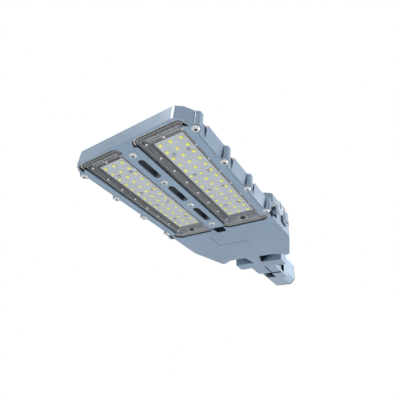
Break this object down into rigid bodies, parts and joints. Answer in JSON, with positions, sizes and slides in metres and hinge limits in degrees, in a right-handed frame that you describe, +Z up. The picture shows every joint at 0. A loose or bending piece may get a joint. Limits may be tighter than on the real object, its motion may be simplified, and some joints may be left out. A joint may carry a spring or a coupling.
{
  "type": "led street light head",
  "caption": "Die-cast LED street light head with finned LED modules, a hinged driver compartment lid and a tilting pole spigot.",
  "frame": {"origin": "centre of the pole spigot's mouth", "axes": "+X from the mouth to the nose along the pole's axis, +Z up, light leaves along -Z"},
  "size_m": [0.676, 0.2656, 0.0692],
  "materials": {
    "housing_paint": "light blue-grey powder coat on die-cast aluminium",
    "strip_paint": "light blue-grey powder coat on die-cast aluminium",
    "stainless": "bright stainless steel",
    "tray_metal": "grey cast aluminium",
    "board_white": "pale solder mask",
    "led_yellow": "yellow phosphor",
    "clear_cover": "clear polycarbonate",
    "black_rubber": "black rubber",
    "black_plastic": "black nylon",
    "driver_case": "plain aluminium case",
    "grey_plastic": "grey plastic"
  },
  "bodies": {
    "spigot_body": {"spigot": "housing_paint", "clamp_screws": "stainless", "pivot_bolt": "stainless", "pivot_washer": "stainless"},
    "head": {"entry_gland": "black_plastic", "hinge_bolts": "housing_paint", "housing": "housing_paint", "lead_gland_left": "black_plastic", "lead_gland_right": "black_plastic", "led_board_left": "board_white", "led_board_right": "board_white", "led_driver": "driver_case", "leds_left": "led_yellow", "leds_right": "led_yellow", "lens_cover_left": "clear_cover", "lens_cover_right": "clear_cover", "lid_gasket": "black_rubber", "module_tray_left": "tray_metal", "module_tray_right": "tray_metal", "strip_centre": "strip_paint", "strip_left": "strip_paint", "strip_right": "strip_paint", "strip_screws_centre": "stainless", "strip_screws_left": "stainless", "strip_screws_right": "stainless", "surge_protector": "black_plastic", "terminal_block": "grey_plastic"},
    "lid": {"driver_lid": "housing_paint", "lid_clips": "strip_paint"}
  },
  "joints": [
    {"name": "tilt", "type": "hinge", "parent": "spigot_body", "child": "head", "pos_m": [0.11, 0, 0], "axis": [0, 1, 0], "range_deg": [-15, 15]},
    {"name": "lid_hinge", "type": "hinge", "parent": "head", "child": "lid", "pos_m": [0.375, 0, -0.015], "axis": [0, 1, 0], "range_deg": [0, 45]}
  ]
}
